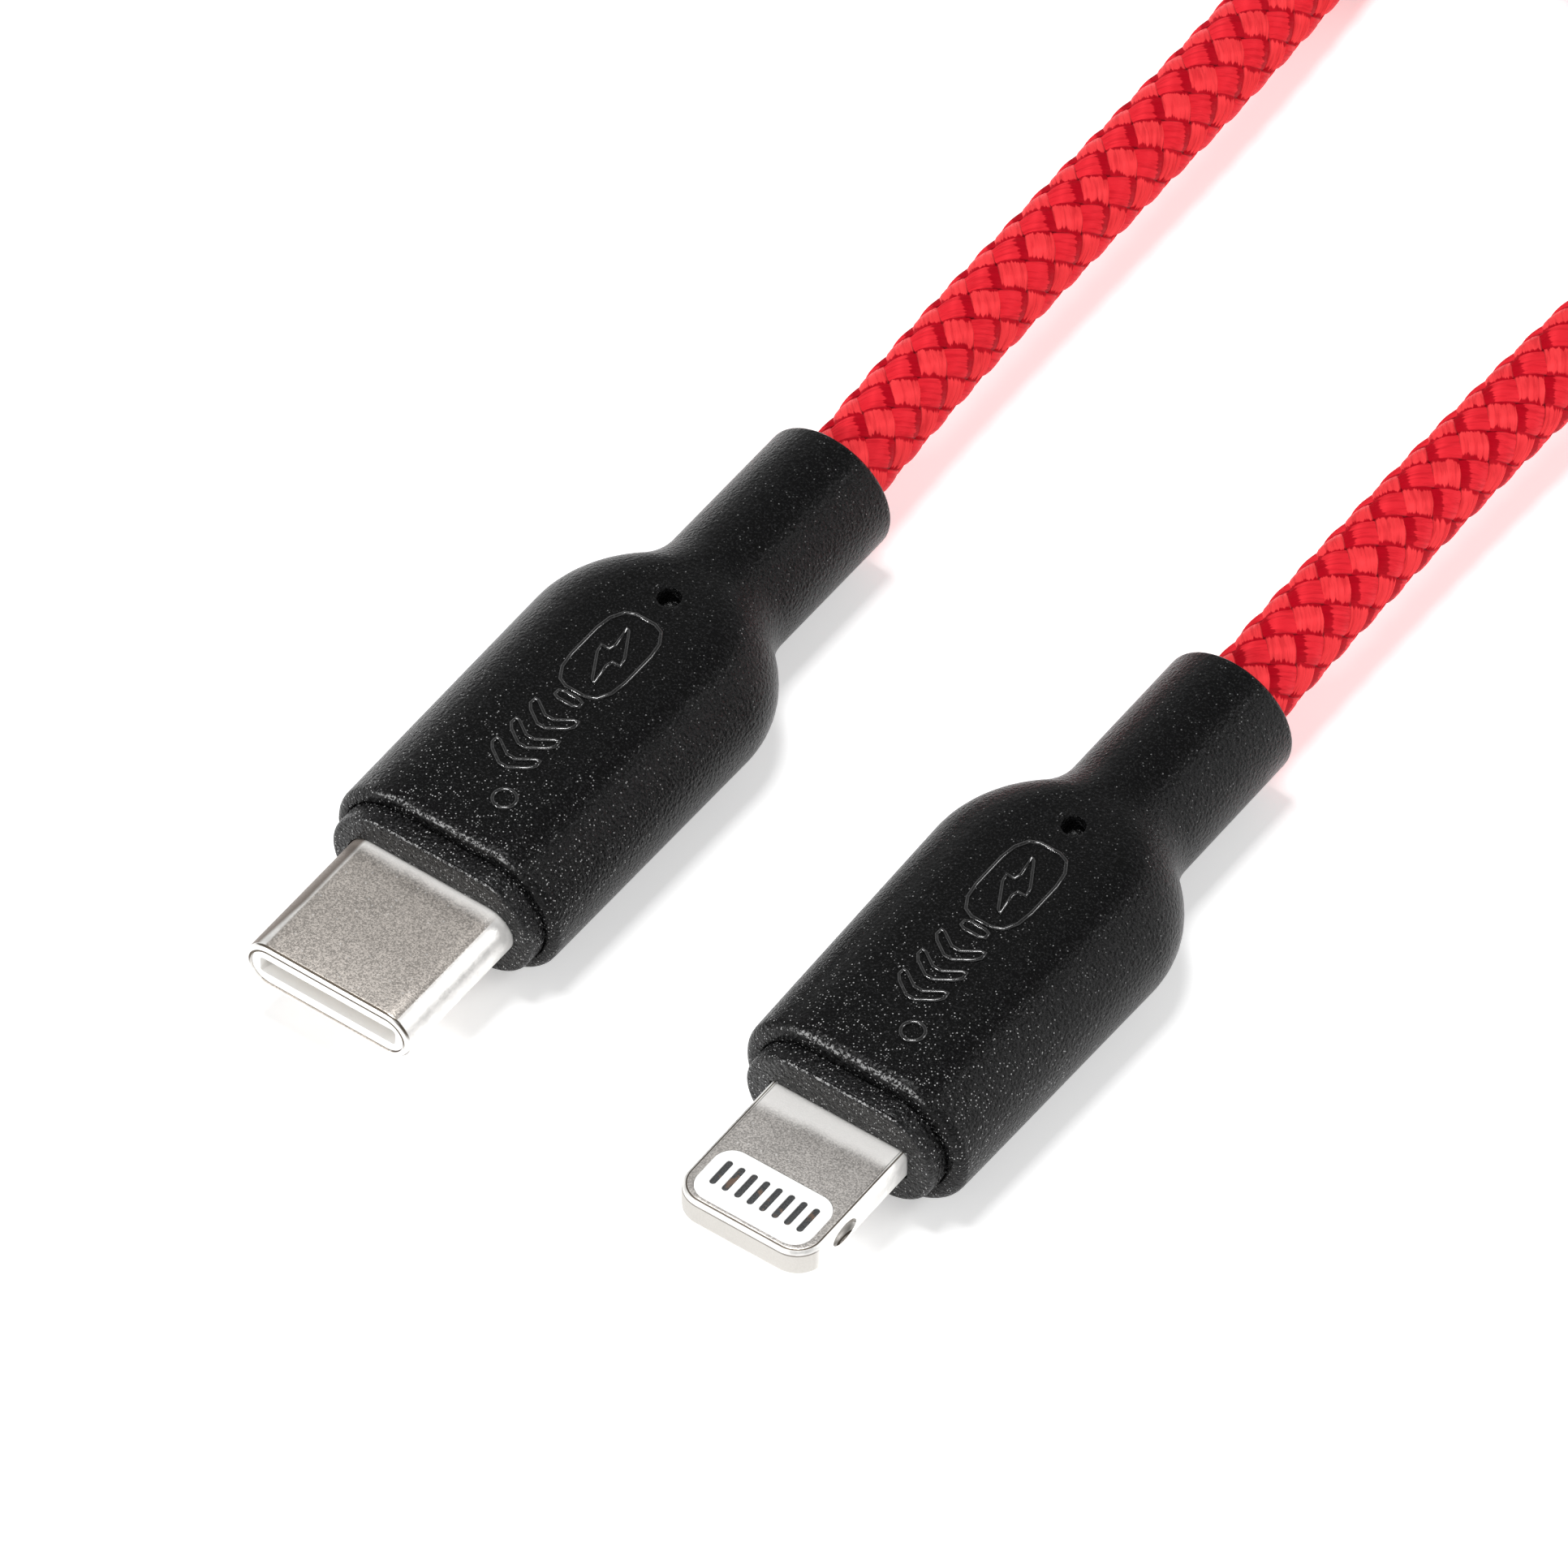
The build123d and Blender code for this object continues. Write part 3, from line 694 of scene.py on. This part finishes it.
class Skin:
    """Gathers grids of points into one mesh with a UV map."""

    def __init__(self):
        self.points, self.faces, self.uvs, self.kinds, self.ends = [], [], [], [], []
        self.count = 0

    def add(self, points, uv, kind=0):
        """Adds a closed tube of rings of points, with a cap on each end. kind is its material's number."""
        rows, columns = points.shape[:2]
        flat = points.reshape(-1, 3)
        i, j = np.meshgrid(np.arange(rows - 1), np.arange(columns), indexing="ij")
        k = (j + 1) % columns
        here, there = i * columns, (i + 1) * columns
        quads = np.stack([here + j, here + k, there + k, there + j], axis=-1).reshape(-1, 4)
        self.points.append(flat)
        self.faces.append(quads + self.count)
        self.uvs.append(uv.reshape(-1, 2)[quads.ravel()])
        self.kinds.append(np.full(len(quads), kind))
        caps = [np.arange(columns)[::-1], (rows - 1) * columns + np.arange(columns)]
        self.ends += [list(cap + self.count) for cap in caps]
        self.count += len(flat)

    def mesh(self, name):
        mesh = bpy.data.meshes.new(name)
        points = np.concatenate(self.points)
        quads = np.concatenate(self.faces)
        mesh.vertices.add(len(points))
        mesh.vertices.foreach_set("co", (points * MM).ravel().astype(np.float32))
        loops = np.concatenate([quads.ravel(), np.concatenate(self.ends)]).astype(np.int32)
        sizes = np.array([4] * len(quads) + [len(end) for end in self.ends])
        mesh.loops.add(len(loops))
        mesh.loops.foreach_set("vertex_index", loops)
        mesh.polygons.add(len(sizes))
        starts = np.concatenate([[0], np.cumsum(sizes)[:-1]]).astype(np.int32)
        mesh.polygons.foreach_set("loop_start", starts)
        kinds = np.concatenate([np.concatenate(self.kinds), np.zeros(len(self.ends))]).astype(np.int32)
        mesh.polygons.foreach_set("material_index", kinds)
        layer = mesh.uv_layers.new(name="UVMap")
        uv = np.concatenate([np.concatenate(self.uvs), np.zeros((len(np.concatenate(self.ends)), 2))])
        layer.data.foreach_set("uv", uv.ravel().astype(np.float32))
        mesh.update(calc_edges=True)
        mesh.validate()
        return mesh


# The leads are finer than the hank, which stands outside the view
braid = Skin()
fine, coarse = section(8, 2), section(4, 0)
lead_a = sum(np.linalg.norm(np.diff(np.array(LEAD_A), axis=0), axis=1)) / MM + TUCK
lead_b = length - sum(np.linalg.norm(np.diff(np.array(LEAD_B), axis=0), axis=1)) / MM - TUCK
lead_a, lead_b = (round(value / CELL) * CELL for value in (lead_a, lead_b))
for hand in (1, -1):
    for index in range(YARNS):
        for start, stop, per_cell, shape in (
            (0, lead_a, 8, fine),
            (lead_a, lead_b, 4, coarse),
            (lead_b, length, 8, fine),
        ):
            braid.add(*strand(index, hand, start, stop, per_cell, shape))
core = np.linspace(0, length, int(length / 1.2))[:, None]
turn = np.linspace(0, 2 * pi, 14, endpoint=False)[None, :]
braid.add(around(core, turn, CORE), grid(turn, core), 1)

cord = bpy.data.objects.new("braided_cord", braid.mesh("braided_cord"))
scene.collection.objects.link(cord)
cord.data.materials.append(yarn_material())
cord.data.materials.append(plain("cord_core", (0.05, 0.0005, 0.002), 0.8))
cord.data.shade_smooth()
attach(cord, "root")
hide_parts("cord_usb_c_lead", "cord_hank", "cord_eight_pin_lead")

# Plugs -------------------------------------------------------------------------------------------

# Each one's light is the colour painted into its glints and its front crest highlight
grip_black = moulded(
    "grip_black",
    dark=(0.0024, 0.0024, 0.0025),
    light=(0.5, 0.5, 0.5),
    grain=6.5,
    depth=0.055,
    rough=(0.22, 0.3),
    specular=0.14,
    crowd=0.3,
)
mould_black = moulded(
    "mould_black",
    dark=(0.004, 0.004, 0.0042),
    light=(0.6, 0.6, 0.6),
    grain=6.0,
    depth=0.08,
    rough=(0.2, 0.3),
    specular=0.22,
    crowd=0.35,
)
sign_black = moulded(
    "sign_black",
    dark=(0.003, 0.003, 0.0031),
    light=(0.2, 0.2, 0.2),
    grain=8.0,
    depth=0.004,
    rough=(0.12, 0.2),
    specular=0.9,
)

# Where each plug's axis is, how far forward its grip begins, and how far it is turned
PLACES = {"usb_c": (-10.28, -9.17, 0.0), "eight_pin": (10.28, -9.45, radians(0.5))}
# Half the grip's width in front and at the shoulder, its front rounding, half the collar's width and height
FORMS = {"usb_c": (5.57, 5.68, 0.4, 5.0, 2.59), "eight_pin": (5.44, 5.70, 0.5, 4.6, 2.45)}
# The hole in each collar that its metal tip stands in: half its width and height, and its corners' radius
OPENINGS = {"usb_c": (4.135, 1.21, 1.21), "eight_pin": (3.36, 0.76, 0.21)}
AT = {}
for plug, (x, front, turn) in PLACES.items():
    AT[plug] = Matrix.Translation((x * MM, front * MM, AXIS * MM)) @ Matrix.Rotation(turn, 4, "Z")


# Half the neck's width and height, and how far the grip with its neck reaches
NECK = 3.09
NECK_HIGH = 3.06
GRIP_LENGTH = 26.56
# Where the shoulder begins, the radii of its bulge and hollow, and how much lower than the body the neck is
SHOULDER = 13.38
BULGE = 5.2
HOLLOW = 2.73
DROP = 0.32


def shoulder(y, front, body):
    """Half the grip's width and height at y: nearly straight body, round shoulder, small hollow and neck."""
    reach = sqrt((BULGE + HOLLOW) ** 2 - (NECK + HOLLOW - body + BULGE) ** 2)
    meet = SHOULDER + reach * BULGE / (BULGE + HOLLOW)
    if y <= SHOULDER:
        half = front + (body - front) * y / SHOULDER
    elif y <= meet:
        half = body - BULGE + sqrt(BULGE**2 - (y - SHOULDER) ** 2)
    elif y < SHOULDER + reach:
        half = NECK + HOLLOW - sqrt(HOLLOW**2 - (SHOULDER + reach - y) ** 2)
    else:
        half = NECK
    return half, AXIS - DROP * (body - half) / (body - NECK)


def grip_mesh(front, body, edge, collar, tall):
    """The soft overmould, with the pin hole on top.

    Its rings run out of the collar's seat, over the outside to the neck's end, and back in along the cord.
    """
    seat = ((13.0, 0), (0.15, 0), (0.04, 0.03), (0, 0.1))
    rings = [(y, collar + out, tall + out, tall + out) for y, out in seat]
    rings += rounded_edge(0, front, AXIS, AXIS, edge, 7, -1)[::-1]
    for y in [3, 6, 9, 12, *np.linspace(SHOULDER, 19.3, 34)]:
        half, high = shoulder(y, front, body)
        rings.append((y, half, high, high))
    rings += [(y, NECK, NECK_HIGH, NECK_HIGH) for y in (20.5, 22.5, 24.5)]
    rings += rounded_edge(GRIP_LENGTH, NECK, NECK_HIGH, NECK_HIGH, 0.3, 5, 1)
    bore = ((GRIP_LENGTH, 2.02), (26.52, 1.94), (26.4, 1.9), (16, 1.9), (16, 2.0), (13, 2.0))
    rings += [(y, radius, radius, radius) for y, radius in bore]
    hole = [(0, 2.5), (0.44, 2.5), (0.5, 2.56), (0.5, 3.26), (0.53, 3.32), (0.62, 3.36), (0.62, 4), (0, 4)]
    return carved(ringed(rings), turned(hole, (0, 15.3)))


def softened(points, times=2):
    """A closed outline with its corners cut round."""
    for _ in range(times):
        cut = []
        for (ax, ay), (bx, by) in zip(points, points[1:] + points[:1]):
            cut += [(ax * 0.8 + bx * 0.2, ay * 0.8 + by * 0.2), (ax * 0.2 + bx * 0.8, ay * 0.2 + by * 0.8)]
        points = cut
    return points


def mark_mesh():
    """A plain charging sign on the grip's top, in thin beads: a battery with a bolt, arrows and a ring."""
    ring_x, ring_y, ring_radius = 1.1, 2.6, 0.5
    turn = np.linspace(0, 2 * pi, 28, endpoint=False)
    battery = [(-1.35, 8.9), (1.35, 8.9), (1.35, 13.7), (-1.35, 13.7)]
    cap = [(-0.6, 8.2), (0.6, 8.2), (0.6, 8.65), (-0.6, 8.65)]
    bolt = [(0.4, 9.4), (0.12, 11.05), (0.8, 11.05), (-0.4, 13.2), (-0.12, 11.55), (-0.8, 11.55)]
    shapes = [softened(battery), softened(cap, 1), softened(bolt, 1)]
    for y in (7.2, 5.9, 4.6):
        arrow = [(0, y - 0.75), (1.1, y), (1.1, y + 0.55), (0, y - 0.2), (-1.1, y + 0.55), (-1.1, y)]
        shapes.append(softened(arrow, 1))
    shapes.append([(ring_x + ring_radius * cos(a), ring_y + ring_radius * sin(a)) for a in turn])
    curve = bpy.data.curves.new("mark", "CURVE")
    curve.dimensions = "3D"
    curve.bevel_depth = 0.095
    curve.bevel_resolution = 2
    for shape in shapes:
        bead = curve.splines.new("POLY")
        bead.points.add(len(shape) - 1)
        for point, (x, y) in zip(bead.points, shape):
            point.co = (x, y, 0, 1)
        bead.use_cyclic_u = True
    holder = bpy.data.objects.new("mark", curve)
    mesh = bpy.data.meshes.new_from_object(holder)
    bpy.data.objects.remove(holder)
    mesh.transform(Matrix.Translation((0, 0, 3.375)))
    return mesh


def collar_mesh(collar, tall, half_x, half_z, radius):
    """The front of the inner mould: a ring round the metal tip with a rounded outer edge."""
    rings = [(1.5, half_x, half_z, radius), (-0.93, half_x, half_z, radius)]
    rings += [(-0.99, half_x + 0.05, half_z + 0.05, radius + 0.05)]
    rings += rounded_edge(-0.99, collar, tall, tall, 0.2, 5, -1)[::-1]
    rings += [(0.5, collar, tall, tall), (1.5, collar, tall, tall)]
    return ringed(rings)


for plug, form in FORMS.items():
    grip = grip_mesh(*form)
    piece_from(grip, f"{plug}_soft_grip", grip_black, [f"{plug}_grip"], AT[plug], 50)
    piece_from(mark_mesh(), f"{plug}_grip_sign", sign_black, (), AT[plug], 60)
    collar = collar_mesh(*form[3:], *OPENINGS[plug])
    piece_from(collar, f"{plug}_collar", mould_black, [f"{plug}_inner_mould"], AT[plug], 50)


def shell_mesh():
    """Drawn shell with round sides and a rolled front rim."""
    mouth, half_x, half_z = -7.98, 4.125, 1.2
    rings = [(2.5, 3.825, 0.9, 0.9), (mouth, 3.83, 0.905, 0.905)]
    rings += rounded_edge(mouth, half_x, half_z, half_z, 0.22, 6, -1)[::-1]
    rings += [(y, half_x, half_z, half_z) for y in (-5, -2, 0, 2.5)]
    return ringed(rings)


shell_nickel = shell_material()
piece_from(shell_mesh(), "usb_c_tip_shell", shell_nickel, ["usb_c_shell"], AT["usb_c"], 50)


def rounded_loop(half_x, low, high, front, back, steps=16):
    """A rectangle from low to high with front corner radius front and back corner radius back."""
    corners = [
        (half_x - back, high - back, back, 0),
        (-half_x + back, high - back, back, 90),
        (-half_x + front, low + front, front, 180),
        (half_x - front, low + front, front, 270),
    ]
    points = []
    for x, y, radius, start in corners:
        for i in range(steps + 1):
            a = radians(start + 90 * i / steps)
            points.append((x + radius * cos(a), y + radius * sin(a)))
    return points


def slot_loop(x, y, half_x, half_y, steps=10):
    """A slot lengthwise along y, round at both ends."""
    points = []
    for start, sign in ((0, 1), (180, -1)):
        for i in range(steps + 1):
            a = radians(start + 180 * i / steps)
            points.append((x + half_x * cos(a), y + sign * (half_y - half_x) + half_x * sin(a)))
    return points


def pocket(side):
    """An oval cutter for the notch in the tab's left (-1) or right (1) side."""
    bm = bmesh.new()
    bmesh.ops.create_uvsphere(bm, u_segments=40, v_segments=24, radius=1)
    place = Matrix.Translation((side * 3.36, NOTCH_Y, 0.03)) @ Matrix.Diagonal((0.4, 0.78, 0.46, 1))
    bmesh.ops.transform(bm, matrix=place, verts=bm.verts)
    mesh = bpy.data.meshes.new("pocket")
    bm.to_mesh(mesh)
    bm.free()
    return mesh


# Where the eight contacts are across the tab
pads = [(i - 3.5) * 0.61 for i in range(8)]
window = rounded_loop(2.83, -7.58, -4.66, 0.9, 0.9)
tab = plate([rounded_loop(3.35, -7.94, 2.5, 1.3, 0.25)], -0.75, 0.75, 0.3, 6)
piece_from(
    carved(tab, plate([window], -1, 1, 0.0, 0), pocket(1), pocket(-1)),
    "eight_pin_tab",
    tab_material(),
    ["eight_pin_tab_frame"],
    AT["eight_pin"],
    50,
)
inner = rounded_loop(2.82, -7.57, -4.67, 0.89, 0.89)
insert = plate([inner] + [slot_loop(x, CONTACTS_Y, 0.145, 0.71) for x in pads], -0.745, 0.745, 0.03, 2)
insert_white = plain("insert_white", (0.96, 0.96, 0.95), 0.4, 0.0, 1.5, 0.03, 0.003)
piece_from(
    insert,
    "eight_pin_insert",
    insert_white,
    ["eight_pin_contact_insert"],
    AT["eight_pin"],
    40,
)


def contact_material():
    """Dark plated contacts with patches of wear and stains."""
    g = Graph("contact_dark")
    where = g.place()
    grain = g.noise(where, 14.0, 2.0, 0.6)
    stains = g.noise(where, 1.7, 3.0, 0.65)
    shade = g.mix(g.spread(grain, 0.3, 0.7), (0.045, 0.047, 0.048), (0.09, 0.092, 0.094))
    shade = g.mix(g.spread(stains, 0.56, 0.68), shade, (0.17, 0.115, 0.085))
    return g.finish(
        Base_Color=shade,
        Metallic=0.6,
        Roughness=g.spread(grain, 0.3, 0.7, 0.4, 0.6),
        Normal=g.bump(grain, 0.012),
    )


contact_dark = contact_material()
for low, high, row in ((0.3, 0.72, "upper"), (-0.72, -0.3, "lower")):
    bars = joined([plate([slot_loop(x, CONTACTS_Y, 0.14, 0.705)], low, high, 0.03, 2) for x in pads])
    name = f"eight_pin_contacts_{row}"
    piece_from(bars, f"{name}_bars", contact_dark, [name], AT["eight_pin"], 40)


# Tie ---------------------------------------------------------------------------------------------


WAIST_Y = NEAR + RUN / 2


def tie_mesh():
    """A hook-and-loop strap once round the waist, its end lapped over the top and down the right side."""
    path = outline(2 * CORD + 0.24, CORD + 0.24, 1.74, 8, 16, 10)
    count = len(path)
    centre = np.array(path)
    before, after = path[-1:] + path[:-1], path[1:] + path[:1]
    normals = np.array([[z2 - z0, x0 - x2] for (x0, z0), (x2, z2) in zip(before, after)])
    normals /= np.linalg.norm(normals, axis=1)[:, None]
    if (normals * centre).sum() < 0:
        normals = -normals
    # Places across the strap's width, and how much thinner it is there
    across = [-5, -4.9, -4.6, -3, -1.5, 0, 1.5, 3, 4.6, 4.9, 5]
    dips = [0.2, 0.06, 0, 0, 0, 0, 0, 0, 0, 0.06, 0.2]
    # The closed round and the lap over it: the path's points that each follows, its inside and its outside
    lap = [(i + count - 6) % count for i in range(int(count * 0.42))]
    layers = [(list(range(count)), -0.22, 0.2, True), (lap, 0.22, 0.62, False)]
    points, faces = [], []
    for path_ids, low, high, closed in layers:
        base = len(points)
        ring = 2 * len(across)
        for number, i in enumerate(path_ids):
            squeeze = 1.0
            if not closed:
                from_end = min(number, len(path_ids) - 1 - number) / 3
                squeeze = min(1, 0.72 + 0.28 * from_end)
            for side, level in ((1, high), (-1, low)):
                pairs = list(zip(across, dips))
                for y, dip in pairs if side > 0 else pairs[::-1]:
                    out = level - side * dip
                    x, z = centre[i] + normals[i] * out
                    points.append((x, WAIST_Y + y * squeeze, z + CORD + TIE_LIFT))
        total = len(path_ids)
        for number in range(total if closed else total - 1):
            here, there = base + number * ring, base + (number + 1) % total * ring
            for j in range(ring):
                k = (j + 1) % ring
                faces.append((here + j, here + k, there + k, there + j))
        if not closed:
            faces.append(tuple(range(base, base + ring)))
            faces.append(tuple(range(base + (total - 1) * ring, base + total * ring))[::-1])
    return welded(mesh_of(points, faces))


def strap_material():
    """Black looped fabric between two tightly woven edges."""
    g = Graph("tie_black")
    where = g.place()
    loops = g.cells(where, 2.6, "SMOOTH_F1")
    hairs = g.noise(where, 7.0, 3.0, 0.7)
    from_middle = g.absolute(g.minus(g.part(where, "Y"), WAIST_Y))
    woven = g.spread(from_middle, 4.1, 4.3)
    ribs = g.math("SINE", g.times(from_middle, 28.0))
    height = g.plus(g.times(loops, 1.2), hairs)
    height = g.plus(g.times(height, g.minus(1.0, woven)), g.times(ribs, 0.12))
    tone = g.plus(g.times(hairs, 0.6), g.times(loops, 0.5))
    fabric = g.mix(g.spread(tone, 0.35, 0.75), (0.003, 0.003, 0.0033), (0.022, 0.022, 0.023))
    return g.finish(
        Base_Color=g.mix(woven, fabric, (0.006, 0.006, 0.0065)),
        Roughness=0.8,
        Specular_IOR_Level=0.2,
        Sheen_Weight=0.12,
        Normal=g.bump(height, 0.25),
    )


tie = piece_from(tie_mesh(), "hank_strap", strap_material(), ["hank_tie"], None, 45)

# Pieces inside -----------------------------------------------------------------------------------

# They keep their CAD shape, and each takes the look that its name holds.
# The housing's front ring is painted with a faint glow, though it is no lamp.
ring_glow = (-17.1, -16.5, 0.15, 0.0)
housing_white = plain("housing_white", (0.9, 0.89, 0.87), 0.45, 0.0, 1.5, 0.03, glow=ring_glow)
inside = {
    "shield_can": plain("can_tin", (0.66, 0.66, 0.64), 0.35, 1.0),
    "circuit_board": plain("board_green", (0.01, 0.09, 0.035), 0.35),
    "board_components": plain("component_black", (0.02, 0.02, 0.022), 0.45),
    "crimp_ring": plain("crimp_brass", (0.72, 0.5, 0.2), 0.35, 1.0),
    "jacket_end": plain("jacket_red", (0.5, 0.01, 0.02), 0.5),
    "braid_end": plain("braid_end_red", (0.6, 0.01, 0.02), 0.7, 0.0, 4.0, 0.3, 0.03),
    "power_wire": plain("wire_red", (0.55, 0.02, 0.02), 0.4),
    "data_wires": plain("wire_white", (0.8, 0.8, 0.78), 0.4),
    "ground_wire": plain("wire_black", (0.02, 0.02, 0.02), 0.4),
    "contact_housing": housing_white,
    "contacts": plain("contact_gold", (0.85, 0.62, 0.25), 0.25, 1.0),
    "ground_spring": plain("spring_steel", (0.6, 0.59, 0.57), 0.3, 1.0),
    "latch": plain("latch_steel", (0.6, 0.59, 0.57), 0.3, 1.0),
}
for name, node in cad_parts.items():
    for kind, finish in inside.items():
        if kind in name and not node.hide_render:
            node.data.materials.clear()
            node.data.materials.append(finish)

# Floor and light ---------------------------------------------------------------------------------

HALF_FLOOR = 3
corners = [(x * HALF_FLOOR, y * HALF_FLOOR, 0) for x, y in ((-1, -1), (1, -1), (1, 1), (-1, 1))]
floor_mesh = mesh_of(corners, [(0, 1, 2, 3)])
floor = bpy.data.objects.new("floor", floor_mesh)
scene.collection.objects.link(floor)
g = Graph("floor_white")
floor_mesh.materials.append(
    g.finish(
        Base_Color=g.mix(g.noise(g.place(), 0.02), (0.9, 0.9, 0.9), (0.92, 0.92, 0.92)),
        Roughness=0.6,
        Specular_IOR_Level=0.2,
        Emission_Color=(1.0, 1.0, 1.0),
        Emission_Strength=0.4,
    )
)
LAMP_DISTANCE = 0.8


def softbox(name, direction, size, power):
    """A rectangular light that looks at the plugs from this direction."""
    light = bpy.data.lights.new(name, "AREA")
    light.shape = "RECTANGLE"
    light.size, light.size_y = size
    light.energy = power
    lamp = bpy.data.objects.new(name, light)
    scene.collection.objects.link(lamp)
    towards = Vector(direction).normalized()
    lamp.location = towards * LAMP_DISTANCE
    lamp.rotation_euler = towards.to_track_quat("Z", "Y").to_euler()


softbox("key", (-0.10, 0.0, 0.995), (0.2, 0.2), 3.4)
softbox("front", (-0.39, -0.81, 0.44), (0.16, 0.06), 2.6)
softbox("band", (0.676, 0.53, 0.513), (0.25, 0.2), 1.6)

# The sky is dimmer overhead than near the horizon
world = bpy.data.worlds.new("studio")
scene.world = world
world.use_nodes = True
nodes, links = world.node_tree.nodes, world.node_tree.links
background = nodes["Background"]
where = nodes.new("ShaderNodeTexCoord")
parts = nodes.new("ShaderNodeSeparateXYZ")
ramp = nodes.new("ShaderNodeMapRange")
for name, value in (("From Min", 0.1), ("From Max", 0.9), ("To Min", 0.85), ("To Max", 0.2)):
    ramp.inputs[name].default_value = value
links.new(where.outputs["Generated"], parts.inputs[0])
links.new(parts.outputs["Z"], ramp.inputs["Value"])
links.new(ramp.outputs["Result"], background.inputs["Strength"])
background.inputs["Color"].default_value = (1, 1, 1, 1)
